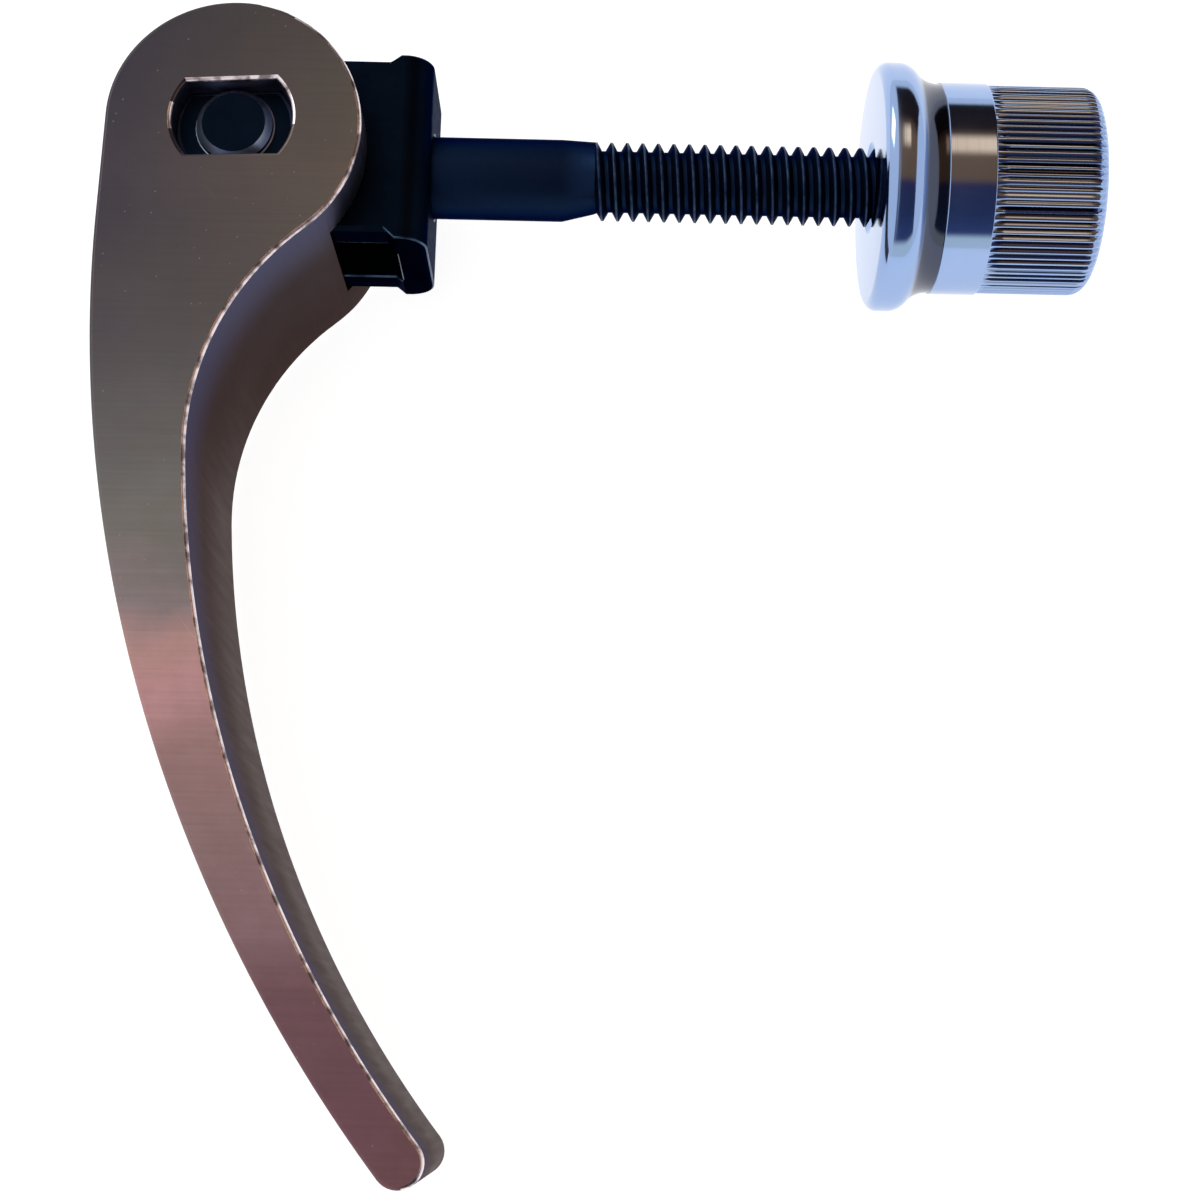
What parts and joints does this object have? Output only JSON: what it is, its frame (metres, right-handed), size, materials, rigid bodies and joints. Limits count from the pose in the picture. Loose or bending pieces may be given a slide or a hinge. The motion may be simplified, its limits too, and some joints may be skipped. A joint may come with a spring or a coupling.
{
  "type": "cam lever",
  "caption": "Quick-release cam lever: a curved lever turns an eccentric pin in a folded bracket and draws a threaded eye bolt with a flanged, knurled nut.",
  "frame": {"origin": "centre of the bracket's bearing face, on the bolt's axis", "axes": "+X along the bolt from the bearing face to the nut; +Z along the cam pin, up, with the lever lying on its flat side; +Y from the lever's tip side to its crown"},
  "size_m": [0.0783, 0.0892, 0.0206],
  "materials": {
    "plated_lever": "dark polished plating on steel, fine scratches",
    "black_steel": "black oxide, oiled, satin",
    "bright_chrome": "bright chrome plate",
    "nylon": "natural white nylon"
  },
  "bodies": {
    "bracket_body": {"bracket": "black_steel"},
    "lever_body": {"lever": "plated_lever", "cam_pin": "black_steel"},
    "bolt_body": {"eye_bolt": "black_steel"},
    "ring_body": {"lock_ring": "nylon"},
    "nut_body": {"nut": "bright_chrome"}
  },
  "joints": [
    {"name": "lever_swing", "type": "hinge", "parent": "bracket_body", "child": "lever_body", "pos_m": [-0.0149, 0, 0], "axis": [0, 0, -1], "range_deg": [0, 150]},
    {"name": "bolt_draw", "type": "slide", "parent": "bracket_body", "child": "bolt_body", "axis": [1, 0, 0], "range_m": [0, 0.00275]},
    {"name": "nut_travel", "type": "slide", "parent": "bolt_body", "child": "ring_body", "axis": [1, 0, 0], "range_m": [-0.0204, 0.0077]},
    {"name": "nut_spin", "type": "hinge", "parent": "ring_body", "child": "nut_body", "pos_m": [0.045, 0, 0], "axis": [1, 0, 0], "range_deg": [-5760, 2160]}
  ],
  "couplings": [
    {"joint": "bolt_draw", "follows": "lever_swing", "m_per_rad": 0.00105},
    {"joint": "nut_travel", "follows": "nut_spin", "m_per_rad": 0.00020213}
  ]
}
